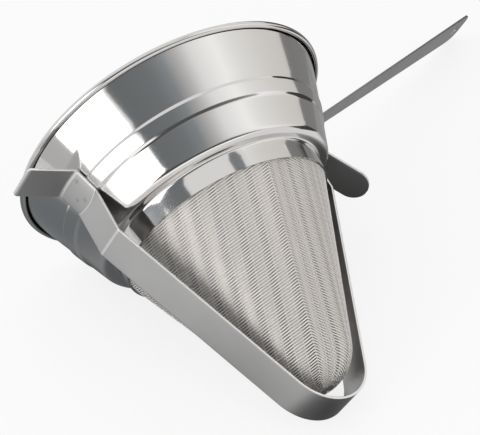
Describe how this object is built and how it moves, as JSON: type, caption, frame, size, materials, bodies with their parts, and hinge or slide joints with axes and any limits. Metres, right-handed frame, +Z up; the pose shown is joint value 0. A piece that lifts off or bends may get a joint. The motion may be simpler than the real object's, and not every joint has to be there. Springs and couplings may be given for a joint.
{
  "type": "colander",
  "caption": "Conical fine-mesh strainer with a polished steel bowl, wire-cloth cone, flat tip guard, flat flared handle and two pot hooks, lying on its side",
  "frame": {"origin": "centre of the footprint on the table, with the strainer lying on its side as in the picture", "axes": "+Z up from the table, +X the way the handle points, +Y the way the mouth faces, tipped upwards"},
  "size_m": [0.4364, 0.315, 0.1832],
  "materials": {
    "polished_steel": "mirror polished",
    "satin_steel": "satin rolled",
    "wire_cloth": "woven wire"
  },
  "bodies": {
    "root": {"bowl": "polished_steel", "rim_wire": "satin_steel", "outer_mesh": "wire_cloth", "inner_mesh": "wire_cloth", "mesh_clamp_ring": "polished_steel", "guard_strap": "satin_steel", "handle": "satin_steel", "pot_hook": "satin_steel"}
  },
  "joints": []
}
